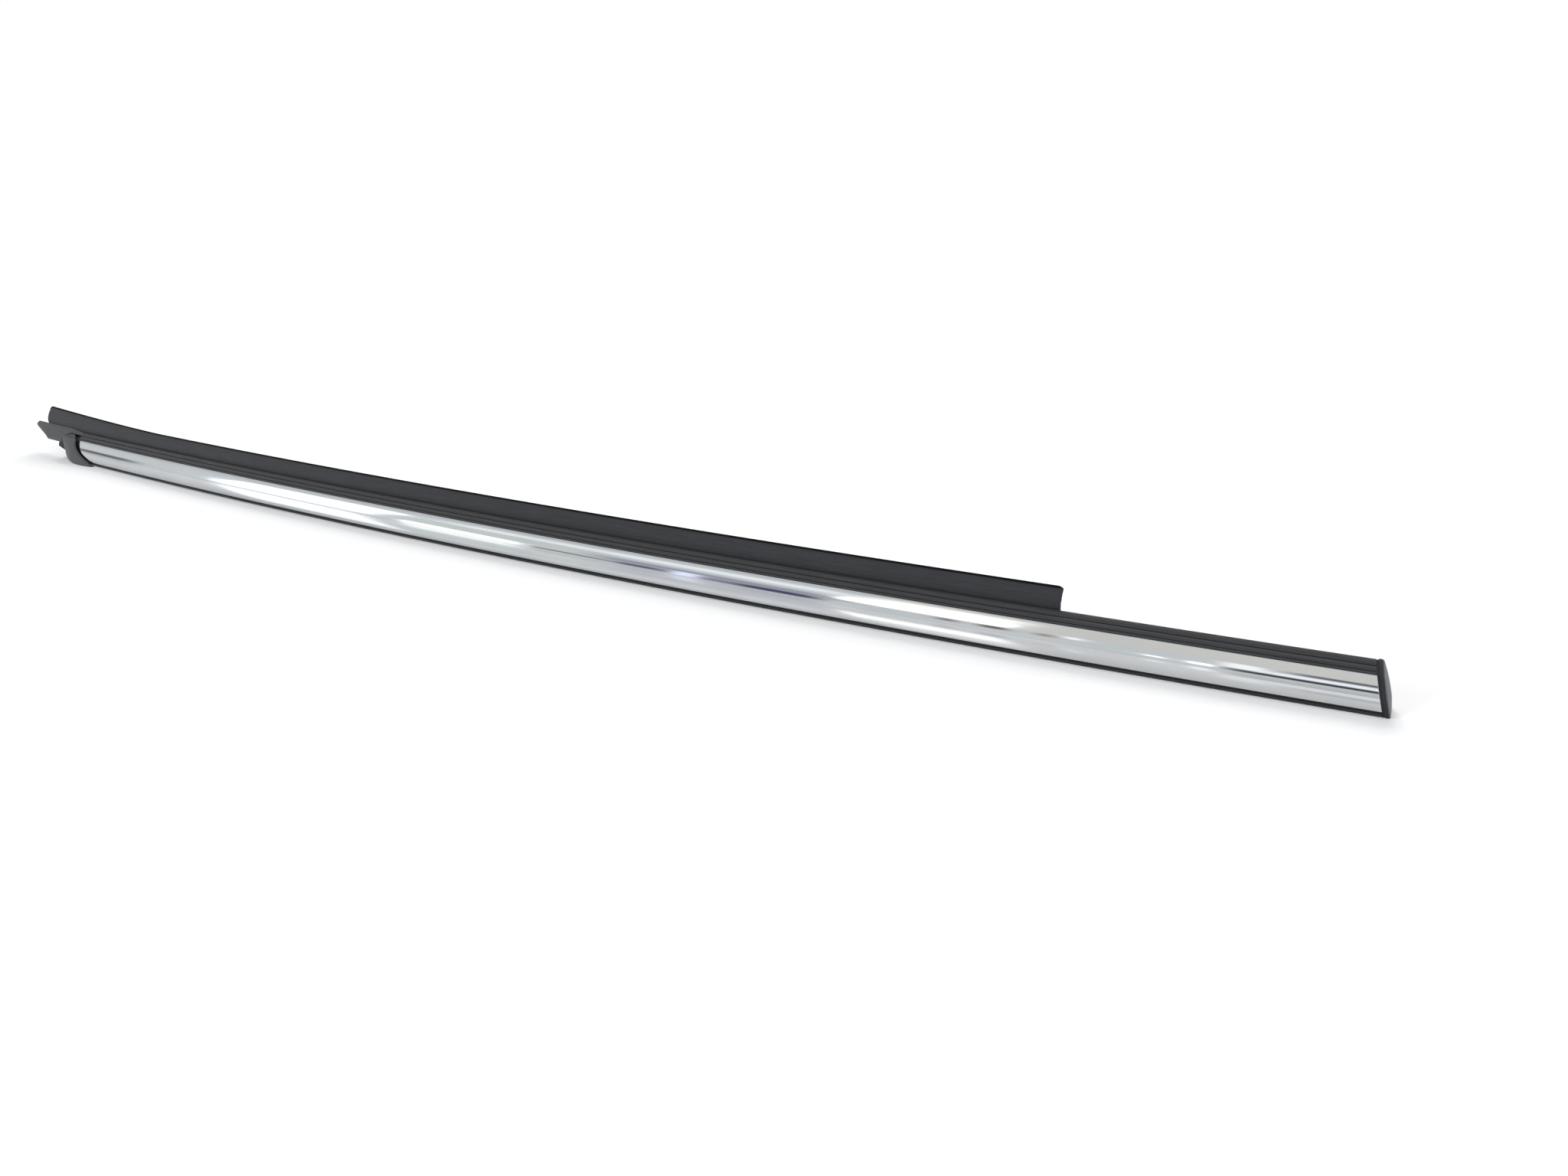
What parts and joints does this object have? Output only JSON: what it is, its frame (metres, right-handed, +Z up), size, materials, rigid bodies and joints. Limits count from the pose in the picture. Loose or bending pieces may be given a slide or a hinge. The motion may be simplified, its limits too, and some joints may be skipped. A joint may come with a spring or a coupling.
{
  "type": "outer belt-line weatherstrip",
  "caption": "Bowed outer window weatherstrip for a car door: bright trim on a clip-on channel, with a ribbed cover, flocked glass lips, a soft skin lip and moulded ends.",
  "frame": {"origin": "on the rest plane at the outboard edge of the skin lip's foot, halfway along the strip", "axes": "+X along the strip towards its front end, +Y inboard towards the window glass, +Z up"},
  "size_m": [1.0152, 0.0358, 0.0363],
  "materials": {
    "bright_trim": "mirror-polished sheet",
    "channel": "extruded, fine satin",
    "ribbed_cover": "extruded, matte",
    "lip_rubber": "extruded, matte",
    "flock": "short flock",
    "skin_lip": "extruded, matte",
    "fins": "extruded, soft satin",
    "end_cap": "moulded, smooth matte",
    "front_cap": "moulded, smooth",
    "rivet": "bright",
    "foam": "closed-cell foam",
    "clip": "plated spring steel"
  },
  "bodies": {
    "root": {"bright_trim": "bright_trim", "carrier_channel": "channel", "ribbed_cover": "ribbed_cover", "glass_lip": "lip_rubber", "glass_lip_flock": "flock", "lower_glass_lip": "lip_rubber", "lower_lip_flock": "flock", "skin_lip": "skin_lip", "grip_fins": "fins", "rear_end_cap": "end_cap", "front_end_cap": "front_cap", "front_cap_rivet": "rivet", "rear_foam_block": "foam", "front_foam_block": "foam", "retaining_clip_1": "clip", "retaining_clip_2": "clip", "retaining_clip_3": "clip", "retaining_clip_4": "clip", "retaining_clip_5": "clip", "retaining_clip_6": "clip"}
  },
  "joints": []
}
